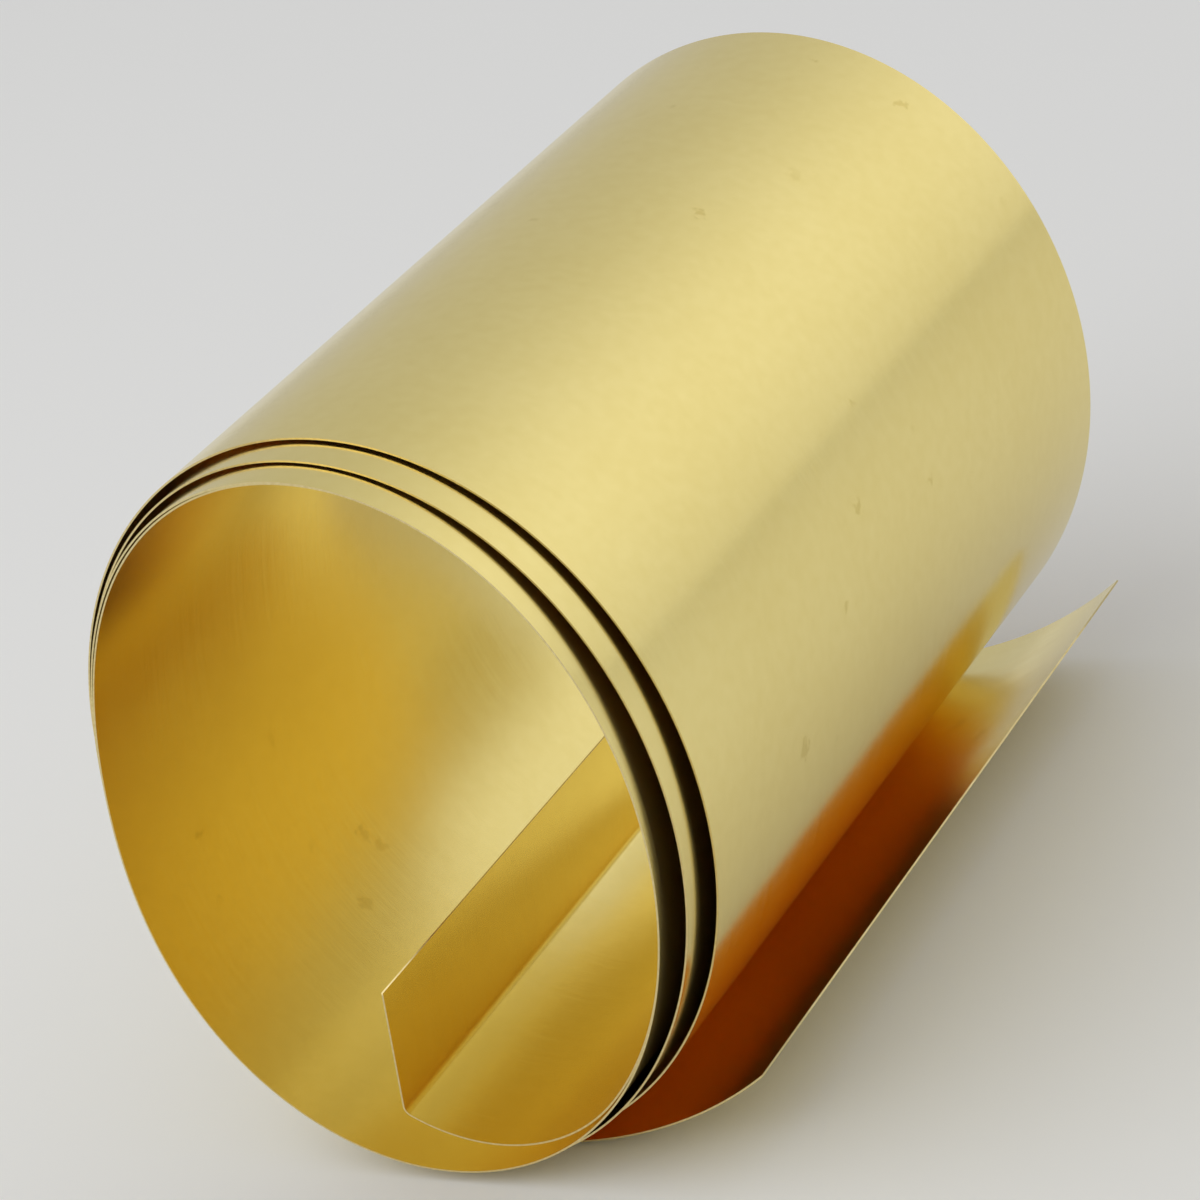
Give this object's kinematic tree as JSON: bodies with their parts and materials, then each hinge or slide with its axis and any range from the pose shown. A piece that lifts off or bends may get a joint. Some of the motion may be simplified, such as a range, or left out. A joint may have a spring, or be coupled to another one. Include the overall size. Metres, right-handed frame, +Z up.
{
  "type": "shim stock roll",
  "caption": "Loose open roll of thin satin brass shim stock lying on its side, with a bent-up inner tab and a free outer tail, cut to length for spacing and packing.",
  "frame": {"origin": "bottom centre of the roll as it lies on the floor", "axes": "+Y along the axis of the roll, from the end whose inner turns stand forward to the other end; +Z up; the tail springs out towards +X, and the roll rests on it"},
  "size_m": [0.114, 0.1614, 0.128],
  "materials": {
    "brass": "satin rolled"
  },
  "bodies": {
    "root": {"brass_sheet": "brass"}
  },
  "joints": []
}
